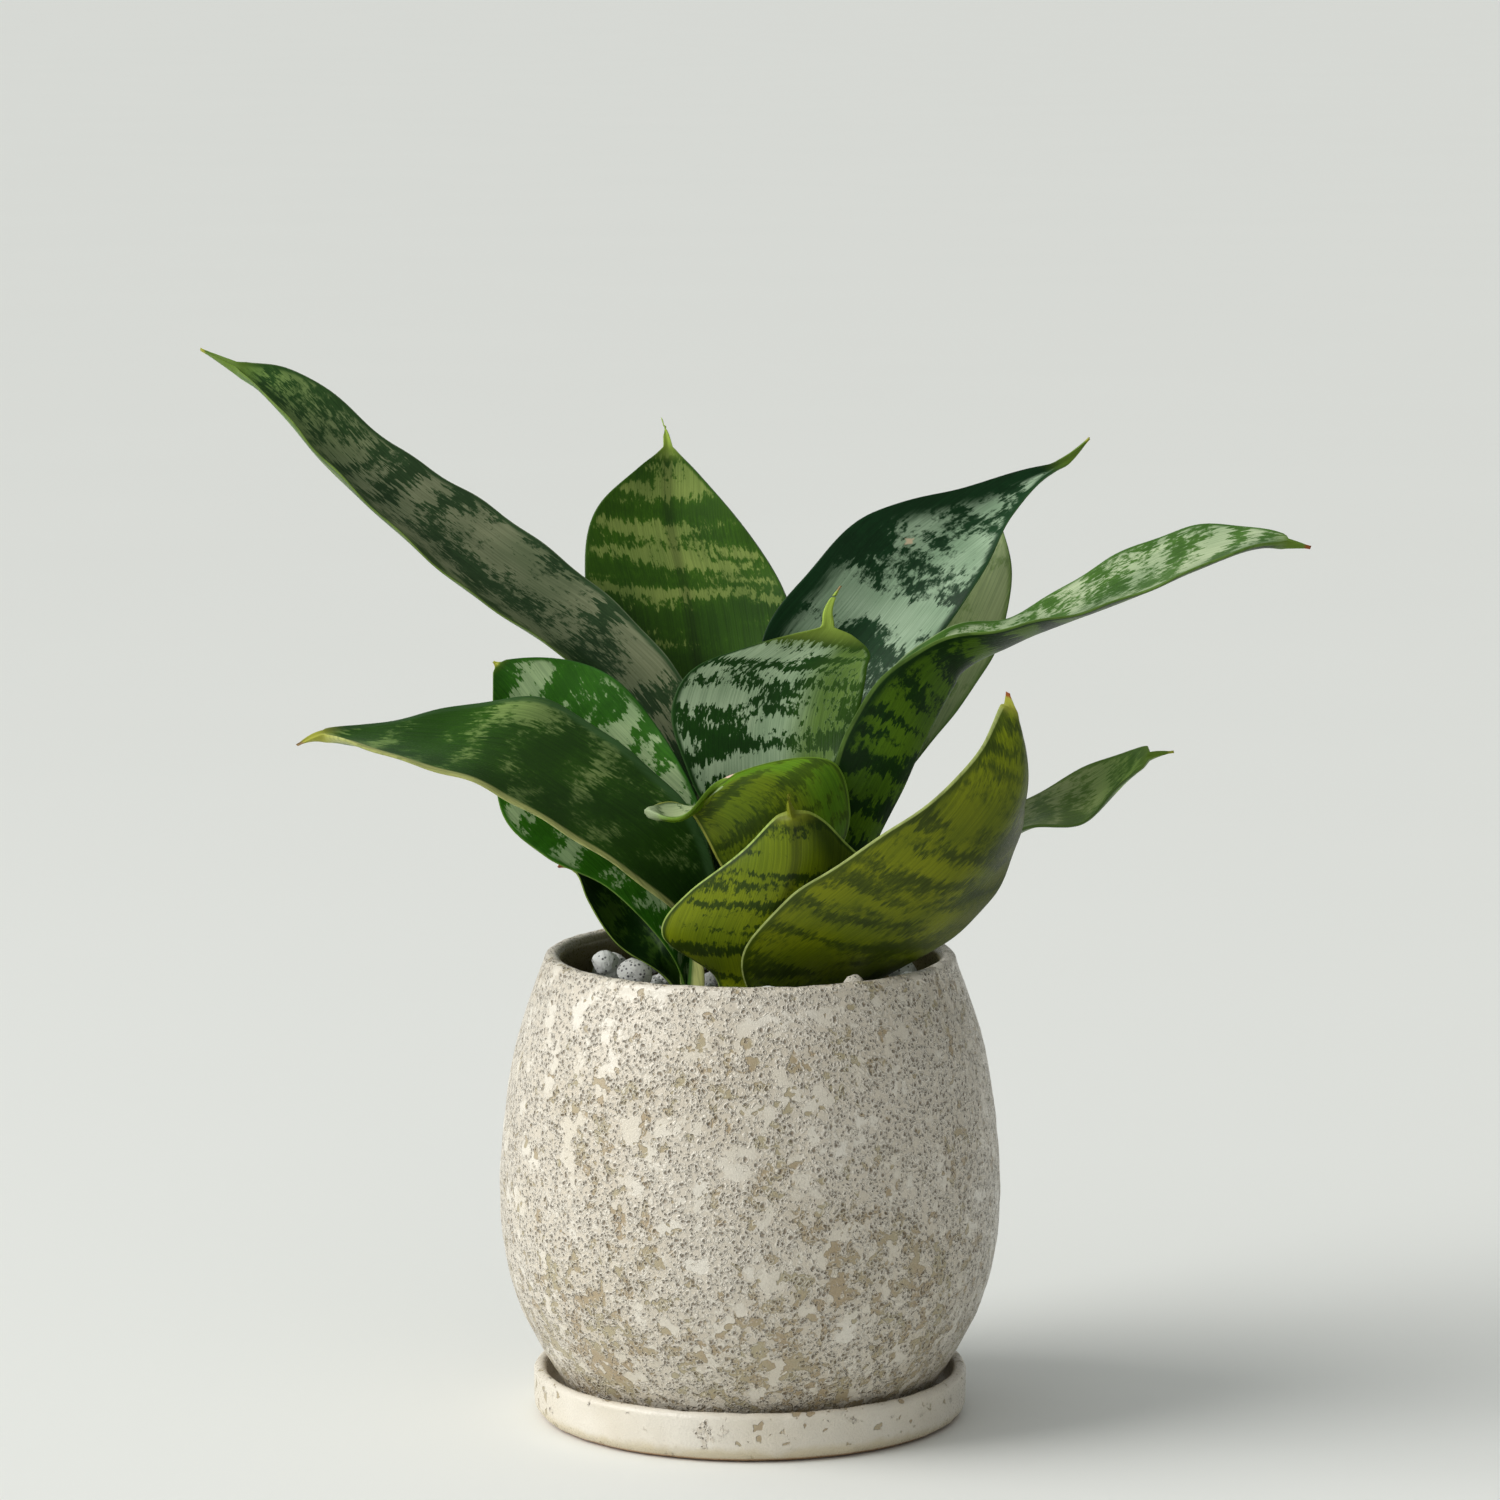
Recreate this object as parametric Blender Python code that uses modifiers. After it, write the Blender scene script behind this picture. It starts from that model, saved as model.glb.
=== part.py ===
"""A potted snake plant of the bird's-nest kind: a saucer, an egg-shaped pot, soil, a crown, its leaves and pebbles.

The base of the saucer lies on z = 0 round the z axis, and the front of the plant faces -Y. Lengths below are in
millimetres, and MM turns them into the scene's metres. Every object is one closed solid, with a gap round it.
"""

import math
import random

import bmesh
import bpy
import numpy as np
from mathutils import Matrix, Vector
from mathutils.kdtree import KDTree

MM = 0.001

# The saucer: a low dish with a straight wall.
SAUCER_RADIUS = 50.5
SAUCER_HEIGHT = 11.5
SAUCER_FOOT_RADIUS = 46.5
SAUCER_FLOOR = 4.5
SAUCER_WALL = 3.0

# The pot: its outside radius at heights above the table, and the thickness of its wall.
POT_OUTSIDE = ((6.5, 42.6), (13.3, 46.9), (26.6, 53.8), (41.0, 57.5), (53.0, 58.2), (69.5, 57.2), (88.4, 54.0), (106.6, 47.9))
POT_BASE = 4.8
POT_BASE_RADIUS = 41.0
POT_RIM = 108.8
POT_WALL = 4.0
POT_FLOOR = 10.5
POT_FOOT_INSIDE = 35.0
POT_FOOT_RECESS = 6.3
DRAIN_RADIUS = 6.0

# The soil, with a well in its top for the crown.
SOIL_TOP = 96.0
SOIL_GAP = 0.6
CROWN_RADIUS = 19.0
CROWN_BOTTOM = 83.0
CROWN_TOP = 95.0
CROWN_GAP = 0.4

TURN_STEPS = 48
SOIL_TURN_STEPS = 32

# The leaves. Each row of a leaf is (left edge, right edge, trough depth), from its base to its tip, where left and
# right are as seen by someone who looks at the upper face with the tip upwards. A tip has one point for both.
LEAF_THICKNESS = 1.2
LEAF_TIP_WIDTH = 1.4
LEAF_LENGTH_STEPS = 16
LEAF_WIDTH_STEPS = 6
TROUGH_POWER = 1.7
LEAVES = {
    "leaf_01_long_left": (
        ((-5, 3, 97), (-1, 7, 97), 2),
        ((-15, 12, 145), (-4, 22, 147), 8),
        ((-35, 19, 168), (-19, 30, 173), 9),
        ((-72, 17, 196), (-55, 40, 204), 8),
        ((-98, 22, 220), (-83, 42, 222), 7),
        ((-114, 32, 236), (-110, 44, 241), 4),
        ((-120, 40, 240), (-119, 44, 242), 2),
        ((-130, 48, 245), (-130, 48, 245), 0.3),
    ),
    "leaf_02_back_upright": (
        ((-4, 9, 97), (3, 10, 97), 2),
        ((-19, 26, 140), (6, 24, 141), 6),
        ((-33, 36, 163), (10, 33, 163), 7),
        ((-39, 42, 188), (9, 40, 186), 6),
        ((-35, 48, 209), (-4, 47, 206), 5),
        ((-26, 51, 217), (-13, 51, 216), 3),
        ((-21, 53, 221), (-18, 53, 221), 1),
        ((-21, 54, 228), (-21, 54, 228), 0.3),
    ),
    "leaf_03_back_right": (
        ((4, 4, 97), (10, 0, 97), 2),
        ((4, 15, 149), (21, 13, 145), 5),
        ((3, 24, 179), (30, 18, 164), 7),
        ((13, 30, 193), (44, 24, 179), 6),
        ((28, 36, 207), (55, 31, 194), 6),
        ((49, 44, 212), (62, 41, 206), 4),
        ((65, 50, 216), (70, 49, 214), 1.5),
        ((74, 53, 218), (75, 53, 217), 1),
        ((81, 56, 223), (81, 56, 223), 0.3),
    ),
    "leaf_04_far_right": (
        ((7, 10, 97), (11, 6, 97), 2),
        ((19, 24, 141), (31, 20, 140), 4),
        ((23, 36, 165), (49, 27, 162), 5),
        ((31, 44, 186), (59, 36, 177), 5),
        ((43, 50, 199), (62, 44, 194), 4),
        ((53, 54, 206), (60, 52, 202), 2),
        ((58, 56, 208), (58, 56, 208), 0.3),
    ),
    "leaf_05_long_right": (
        ((13, 1, 97), (14, -7, 97), 3),
        ((23, 8, 150), (19, -6, 152), 15),
        ((31, 9, 171), (27, -7, 170), 16),
        ((45, 9, 183), (41, -10, 182), 11),
        ((60, 15, 185), (57, -15, 186), 4),
        ((86, 22, 199), (82, -10, 191), 4),
        ((104, 18, 206), (100, -8, 198), 3),
        ((120, 8, 206), (117, -4, 204), 1.5),
        ((129, 2, 203), (129, 2, 203), 0.3),
    ),
    "leaf_06_centre": (
        ((-2, -6, 97), (7, -6, 97), 1.5),
        ((-4, -2, 131), (11, -2, 131), 3),
        ((-14, 0, 150), (19, 0, 151), 4),
        ((-18, 3, 166), (25, 3, 164), 4),
        ((-12, 5, 175), (27, 5, 174), 3),
        ((2, 7, 180), (27, 7, 179), 2),
        ((15, 8, 184), (21, 8, 184), 0.8),
        ((17, 8, 187), (19, 8, 187), 0.5),
        ((21, 9, 193), (21, 9, 193), 0.3),
    ),
    "leaf_07_broad_left": (
        ((-14, -3, 97), (-13, 4, 97), 2),
        ((-20, -3, 111), (-9, -1, 126), 4),
        ((-33, 4, 123), (-12, 5, 143), 5),
        ((-48, 8, 130), (-21, 11, 159), 5),
        ((-58, 12, 140), (-32, 15, 171), 4),
        ((-60, 16, 158), (-45, 18, 175), 3),
        ((-60, 18, 168), (-53, 19, 175), 2),
        ((-60, 20, 174), (-60, 20, 174), 0.3),
    ),
    "leaf_08_front_left": (
        ((-11, -13, 97), (-14, -6, 97), 2),
        ((-14, -14, 117), (-8, -4, 125), 4),
        ((-30, -22, 132), (-14, 0, 142), 5),
        ((-47, -28, 144), (-29, 4, 156), 5),
        ((-63, -30, 153), (-49, 8, 167), 4),
        ((-79, -30, 158), (-70, 4, 165), 3),
        ((-92, -26, 162), (-89, -10, 163), 2),
        ((-97, -21, 162), (-98, -18, 163), 1),
        ((-103, -20, 160), (-103, -20, 160), 0.3),
    ),
    "leaf_09_low_left": (
        ((-16, 3, 97), (-11, 10, 97), 2),
        ((-21, 4, 103), (-19, 11, 112), 3),
        ((-31, 8, 109), (-22, 17, 120), 4),
        ((-38, 12, 119), (-28, 21, 126), 3),
        ((-41, 15, 125), (-38, 19, 128), 1.5),
        ((-45, 18, 126), (-45, 18, 126), 0.3),
    ),
    "leaf_10_front_right": (
        ((17, -18.5, 100), (2, -22, 99), 1.5),
        ((35, -21, 109), (-2, -29, 111), 2.5),
        ((52, -26, 122), (9, -38, 128), 7.5),
        ((60, -28, 137), (29, -46, 143), 9),
        ((62, -30, 152), (48, -50, 159), 7),
        ((60, -38, 165), (54, -48, 169), 4),
        ((57, -48, 176), (57, -48, 176), 0.5),
    ),
    "leaf_11_front_centre": (
        ((4, -18, 98), (-8, -16, 98), 2),
        ((18, -20, 105), (-8, -18, 106), 4),
        ((29, -24, 118), (-20, -20, 116), 6),
        ((30, -27, 130), (-14, -25, 127), 6),
        ((22, -31, 139), (-1, -30, 138), 4),
        ((13, -34, 147), (6, -34, 146), 2),
        ((10, -35, 148), (8, -35, 148), 0.8),
        ((9, -36, 151), (9, -36, 151), 0.3),
    ),
    "leaf_12_curled": (
        ((7, -13, 97), (-3, -12, 97), 1.5),
        ((19, -12, 130), (-1, -14, 122), 4),
        ((23, -13, 144), (-7, -16, 132), 5),
        ((19, -12, 155), (-10, -17, 138), 5),
        ((5, -12, 155), (-13, -16, 143), 4),
        ((-7, -15, 151), (-15, -15, 145), 3),
        ((-16, -25, 144), (-19, -14, 146), 2),
        ((-24, -20, 145), (-24, -20, 145), 0.3),
    ),
    "leaf_13_low_right": (
        ((14, 8, 98), (18, 2, 98), 2),
        ((30, 14, 119), (32, 2, 115), 2),
        ((49, 20, 132), (50, 2, 128), 2.5),
        ((67, 24, 142), (65, 2, 138), 2.5),
        ((80, 24, 149), (77, 4, 138), 3),
        ((90, 22, 153), (86, 12, 146), 2.5),
        ((94, 20, 154), (93, 17, 150), 1),
        ((99, 18, 153), (99, 18, 153), 0.3),
    ),
}

# The pebbles that dress the soil: rings of them round the crown as (ring radius, how many, height of the centres),
# and those that lie on top as (centre, half sizes).
PEBBLE_RINGS = ((38.0, 17, 101.2), (29.0, 12, 101.2))
PEBBLE_HALF_SIZES = (4.2, 5.6)
PEBBLE_FLATNESS = 0.76
PEBBLE_ROUGHNESS = 0.10
PEBBLE_JITTER = 0.8
PEBBLE_CLEARANCE = 0.5
TOP_PEBBLES = (
    ((3.5, -38.4, 104.6), (6.2, 3.2, 3.9)),
    ((23.6, -33.9, 106.8), (3.2, 2.2, 3.2)),
    ((-33.5, 2.5, 105.6), (4.0, 3.6, 3.3)),
    ((-26.5, -8.0, 105.2), (5.0, 4.2, 3.9)),
)
SEED = 8

COLOURS = {
    "glazed ceramic": (0.72, 0.68, 0.60, 1.0),
    "soil": (0.05, 0.035, 0.025, 1.0),
    "crown": (0.45, 0.42, 0.28, 1.0),
    "leaf": (0.08, 0.20, 0.05, 1.0),
    "pumice": (0.75, 0.75, 0.72, 1.0),
}
ROUGHNESS = {"glazed ceramic": 0.35, "soil": 0.95, "crown": 0.7, "leaf": 0.4, "pumice": 0.9}


def new_material(name, finish):
    material = bpy.data.materials.new(name)
    material.use_nodes = True
    shader = material.node_tree.nodes["Principled BSDF"]
    shader.inputs["Base Color"].default_value = COLOURS[finish]
    shader.inputs["Roughness"].default_value = ROUGHNESS[finish]
    shader.inputs["Metallic"].default_value = 0.0
    return material


def add_object(name, mesh, finish, collection):
    mesh.materials.append(new_material(name + "_material", finish))
    thing = bpy.data.objects.new(name, mesh)
    collection.objects.link(thing)
    return thing


def spline(stations, values, wanted):
    """A smooth curve through the values at the stations, read at the wanted positions."""
    stations = np.asarray(stations, float)
    values = np.asarray(values, float)
    if values.ndim == 1:
        values = values[:, None]
    gaps = np.diff(stations)[:, None]
    slopes = np.diff(values, axis=0) / gaps
    tangents = np.empty_like(values)
    tangents[1:-1] = (slopes[:-1] * gaps[1:] + slopes[1:] * gaps[:-1]) / (gaps[1:] + gaps[:-1])
    tangents[0] = 1.5 * slopes[0] - 0.5 * tangents[1]
    tangents[-1] = 1.5 * slopes[-1] - 0.5 * tangents[-2]
    piece = np.clip(np.searchsorted(stations, wanted, side="right") - 1, 0, len(gaps) - 1)
    gap = gaps[piece]
    t = (np.asarray(wanted)[:, None] - stations[piece][:, None]) / gap
    start = (2 * t**3 - 3 * t**2 + 1) * values[piece] + (t**3 - 2 * t**2 + t) * gap * tangents[piece]
    end = (3 * t**2 - 2 * t**3) * values[piece + 1] + (t**3 - t**2) * gap * tangents[piece + 1]
    return start + end


def turned(name, profile, steps, finish, collection):
    """A solid of revolution. The profile is a list of (radius, height), down the outside and up the inside."""
    mesh = bpy.data.meshes.new(name)
    shape = bmesh.new()
    points = [shape.verts.new((radius * MM, 0.0, height * MM)) for radius, height in profile]
    on_axis = profile[0][0] == 0.0
    pairs = zip(points, points[1:] if on_axis else points[1:] + points[:1])
    for first, second in pairs:
        shape.edges.new((first, second))
    shape.to_mesh(mesh)
    shape.free()
    thing = add_object(name, mesh, finish, collection)
    screw = thing.modifiers.new("turn", "SCREW")
    screw.axis = "Z"
    screw.angle = math.tau
    screw.steps = steps
    screw.render_steps = steps
    screw.use_merge_vertices = True
    screw.merge_threshold = 1e-5
    screw.use_normal_calculate = True
    return thing


def arc(centre, radius, start, end, steps):
    """Points of an arc in the profile plane, with angles in degrees from straight out."""
    angles = np.radians(np.linspace(start, end, steps))
    return [(centre[0] + radius * math.cos(a), centre[1] + radius * math.sin(a)) for a in angles]


def build_saucer(collection):
    lip = SAUCER_WALL / 2
    outer_corner = SAUCER_RADIUS - SAUCER_FOOT_RADIUS
    inside_wall = SAUCER_RADIUS - SAUCER_WALL
    profile = [(0.0, SAUCER_FLOOR), (inside_wall - 3.0, SAUCER_FLOOR)]
    profile += arc((inside_wall - 2.5, SAUCER_FLOOR + 2.5), 2.5, -60, 0, 3)
    profile += arc((SAUCER_RADIUS - lip, SAUCER_HEIGHT - lip), lip, 180, 0, 6)
    profile += arc((SAUCER_FOOT_RADIUS, outer_corner), outer_corner, 0, -90, 5)
    profile.append((0.0, 0.0))
    return turned("saucer", profile[::-1], TURN_STEPS, "glazed ceramic", collection)


def pot_radius(heights):
    stations, radii = zip(*POT_OUTSIDE)
    return spline(stations, radii, heights)[:, 0]


def build_pot(collection):
    body = np.linspace(POT_OUTSIDE[-1][0], POT_OUTSIDE[0][0], 16)
    outside = list(zip(pot_radius(body), body))
    rim_out = POT_OUTSIDE[-1][1]
    rim_middle = rim_out - POT_WALL / 2
    rim = [
        (rim_middle - 1.9, POT_RIM - 2.2),
        (rim_middle - 1.5, POT_RIM - 0.8),
        (rim_middle, POT_RIM),
        (rim_middle + 1.3, POT_RIM - 0.6),
    ]
    foot = [
        (POT_BASE_RADIUS, POT_BASE),
        (POT_FOOT_INSIDE + 1.0, POT_BASE),
        (POT_FOOT_INSIDE, POT_FOOT_RECESS),
        (DRAIN_RADIUS, POT_FOOT_RECESS),
        (DRAIN_RADIUS, POT_FLOOR),
    ]
    cavity = np.linspace(POT_FLOOR + 4.0, POT_OUTSIDE[-1][0] - 3.0, 10)
    inside = list(zip(pot_radius(cavity) - POT_WALL, cavity))
    inside.insert(0, (inside[0][0] - 4.5, POT_FLOOR))
    return turned("pot", rim + outside + foot + inside, TURN_STEPS, "glazed ceramic", collection)


def build_soil(collection):
    levels = np.linspace(SOIL_TOP, POT_FLOOR + 5.0, 8)
    side = list(zip(pot_radius(levels) - POT_WALL - SOIL_GAP, levels))
    side.append((side[-1][0] - 6.0, POT_FLOOR + SOIL_GAP))
    well = CROWN_RADIUS + CROWN_GAP
    top = [(0.0, CROWN_BOTTOM - CROWN_GAP), (well, CROWN_BOTTOM - CROWN_GAP), (well, SOIL_TOP)]
    profile = top + side + [(0.0, POT_FLOOR + SOIL_GAP)]
    return turned("soil", profile, SOIL_TURN_STEPS, "soil", collection)


def build_crown(collection):
    """The short thick stem that every leaf grows from."""
    profile = [(0.0, CROWN_TOP), (CROWN_RADIUS - 2.0, CROWN_TOP)]
    profile += arc((CROWN_RADIUS - 2.0, CROWN_TOP - 2.0), 2.0, 60, 0, 3)
    profile += arc((CROWN_RADIUS - 6.0, CROWN_BOTTOM + 6.0), 6.0, 0, -90, 4)
    profile.append((0.0, CROWN_BOTTOM))
    return turned("crown", profile, SOIL_TURN_STEPS, "crown", collection)


def leaf_points(rows, length_steps, width_steps):
    """The middle surface of a leaf as an array of points, one line of them for each step along its length."""
    left = np.array([row[0] for row in rows], float)
    right = np.array([row[1] for row in rows], float)
    middle = (left + right) / 2
    stations = np.concatenate([[0.0], np.cumsum(np.linalg.norm(np.diff(middle, axis=0), axis=1))])
    stations /= stations[-1]
    along = np.linspace(0.0, 1.0, length_steps + 1)
    left = spline(stations, left, along)
    right = spline(stations, right, along)
    trough = np.interp(along, stations, [row[2] for row in rows])
    middle = (left + right) / 2
    across = (right - left) / 2
    half_width = np.maximum(np.linalg.norm(across, axis=1), LEAF_TIP_WIDTH / 2)
    across[-1] = across[-2]
    across /= np.linalg.norm(across, axis=1)[:, None]
    forward = np.gradient(middle, along, axis=0)
    upper = np.cross(across, forward)
    upper /= np.linalg.norm(upper, axis=1)[:, None]
    side = np.linspace(-1.0, 1.0, width_steps + 1)
    sink = trough[:, None] * (np.abs(side) ** TROUGH_POWER - 1.0)[None, :]
    flat = across[:, None, :] * (half_width[:, None] * side[None, :])[..., None]
    return middle[:, None, :] + flat + upper[:, None, :] * sink[..., None]


def build_leaf(name, rows, collection):
    points = leaf_points(rows, LEAF_LENGTH_STEPS, LEAF_WIDTH_STEPS)
    mesh = bpy.data.meshes.new(name)
    shape = bmesh.new()
    bmesh.ops.create_grid(shape, x_segments=LEAF_WIDTH_STEPS, y_segments=LEAF_LENGTH_STEPS, size=1.0)
    for vertex in shape.verts:
        step_across = round((vertex.co.x + 1.0) / 2 * LEAF_WIDTH_STEPS)
        step_along = round((vertex.co.y + 1.0) / 2 * LEAF_LENGTH_STEPS)
        vertex.co = Vector(points[step_along, step_across]) * MM
    shape.to_mesh(mesh)
    shape.free()
    leaf = add_object(name, mesh, "leaf", collection)
    skin = leaf.modifiers.new("thickness", "SOLIDIFY")
    skin.thickness = LEAF_THICKNESS * MM
    skin.offset = 0.0
    return leaf


def leaf_space():
    """A search tree of points close together on every leaf, in millimetres."""
    points = np.concatenate([leaf_points(rows, 90, 24).reshape(-1, 3) for rows in LEAVES.values()])
    tree = KDTree(len(points))
    for index, point in enumerate(points):
        tree.insert(Vector(point), index)
    tree.balance()
    return tree


def build_pebble(name, centre, half_sizes, chance, collection):
    mesh = bpy.data.meshes.new(name)
    shape = bmesh.new()
    bmesh.ops.create_icosphere(shape, subdivisions=1, radius=1.0)
    turn = Matrix.Rotation(chance.uniform(0.0, math.tau), 3, "Z")
    for vertex in shape.verts:
        vertex.co *= 1.0 - chance.uniform(0.0, PEBBLE_ROUGHNESS)
    for vertex in shape.verts:
        spot = turn @ vertex.co
        vertex.co = Vector(c + s * h for c, s, h in zip(centre, spot, half_sizes)) * MM
    shape.to_mesh(mesh)
    shape.free()
    return add_object(name, mesh, "pumice", collection)


def ring_pebbles(chance):
    """(centre, half sizes) of the pebbles in the rings."""
    for radius, count, height in PEBBLE_RINGS:
        for index in range(count):
            angle = math.tau * index / count
            centre = Vector((radius * math.cos(angle), radius * math.sin(angle), height))
            centre += Vector([chance.uniform(-PEBBLE_JITTER, PEBBLE_JITTER) for _ in range(2)] + [0.0])
            half = chance.uniform(*PEBBLE_HALF_SIZES)
            yield centre, (half, half * 0.9, half * PEBBLE_FLATNESS)


def build_pebbles(collection):
    """The pebbles, leaving out each that would touch a leaf or a pebble already there."""
    chance = random.Random(SEED)
    leaves = leaf_space()
    placed = []
    wanted = [(Vector(centre), sizes) for centre, sizes in TOP_PEBBLES]
    wanted += list(ring_pebbles(chance))
    for centre, sizes in wanted:
        reach = max(sizes)
        to_leaf = leaves.find(centre)[2] - LEAF_THICKNESS / 2
        clear = [(centre - other).length - reach - far for other, far in placed]
        if to_leaf < reach + PEBBLE_CLEARANCE or min(clear, default=1.0) < PEBBLE_CLEARANCE:
            continue
        placed.append((centre, reach))
        build_pebble(f"pebble_{len(placed):02d}", centre, sizes, chance, collection)


def main():
    for thing in list(bpy.data.objects):
        bpy.data.objects.remove(thing, do_unlink=True)
    plant = bpy.data.collections.new("potted_snake_plant")
    bpy.context.scene.collection.children.link(plant)
    build_saucer(plant)
    build_pot(plant)
    build_soil(plant)
    build_crown(plant)
    for name, rows in LEAVES.items():
        build_leaf(name, rows, plant)
    build_pebbles(plant)


main()
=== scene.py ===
"""The looks of the potted snake plant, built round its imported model.

It makes fine leaves, a glazed pot and saucer, pumice stones and grit, the soil, and a plain pale studio.
The constants are in millimetres and the colours are linear, unless a comment says otherwise.
"""

import math
import random

import bmesh
import bpy
import numpy as np
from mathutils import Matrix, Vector, noise
from mathutils.kdtree import KDTree


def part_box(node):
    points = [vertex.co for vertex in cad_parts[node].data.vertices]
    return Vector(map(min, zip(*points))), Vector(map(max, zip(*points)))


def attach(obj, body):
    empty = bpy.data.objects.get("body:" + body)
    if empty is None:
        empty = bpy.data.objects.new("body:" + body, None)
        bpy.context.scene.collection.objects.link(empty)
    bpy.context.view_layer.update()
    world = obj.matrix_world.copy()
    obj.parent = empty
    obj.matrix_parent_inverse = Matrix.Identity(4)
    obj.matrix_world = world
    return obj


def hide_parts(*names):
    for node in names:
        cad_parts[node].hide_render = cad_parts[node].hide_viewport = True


MM = 0.001
BODY = "root"
SEED = 11

# The camera, in metres: its place and the point it looks at. The lens and the sensor are in millimetres.
CAMERA_PLACE = (0.0, -1.370, 0.353)
CAMERA_TARGET = (0.0, 0.0, 0.156)
CAMERA_LENS = 144.0
CAMERA_SENSOR = 36.0

# The room's light comes mostly from one side: the direction of that side, and the strength away from
# and towards it.
ROOM_BRIGHT_SIDE = (-0.75, -0.25, 0.61)
ROOM_STRENGTHS = (0.02, 0.70)
ROOM_COLOUR = (0.97, 1.0, 0.985, 1.0)

# A very soft sun lights the whole floor evenly, and a window close by gives the highlights. Angles are
# in degrees, lengths in metres.
SUN_DIRECTION = (-0.95, -0.22, 0.72)
SUN_STRENGTH = 2.0
SUN_SOFTNESS = 45.0
SUN_COLOUR = (1.0, 0.985, 0.95)
WINDOW_PLACE = (-1.3, -0.55, 0.75)
WINDOW_TARGET = (0.0, 0.0, 0.10)
WINDOW_SIZE = (0.7, 0.9)
WINDOW_POWER = 5.0
FLOOR_RADIUS = 40.0
FLOOR_COLOURS = ((0.815, 0.825, 0.80), (0.83, 0.84, 0.815))

# How finely a leaf is made, and its cross-section: thin at the edges, thicker in the middle, and a
# round spike.
LEAF_ROWS = 150
LEAF_ROUND = 76
LEAF_CROWDING = 1.15
LEAF_TIP_HALF_WIDTH = 0.3
SPIKE_HALF_THICKNESS = 1.2
LEAF_EDGE_THICKNESS = 0.55
LEAF_MIDDLE_THICKNESS = 1.5
TROUGH_POWER = 1.7
TROUGH_SMOOTHING = 6
# The gentle wave of a leaf's edges: its height, and the length of leaf per radian of it.
WAVE_HEIGHT = 0.35
WAVE_STRETCH = 3.1

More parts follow.
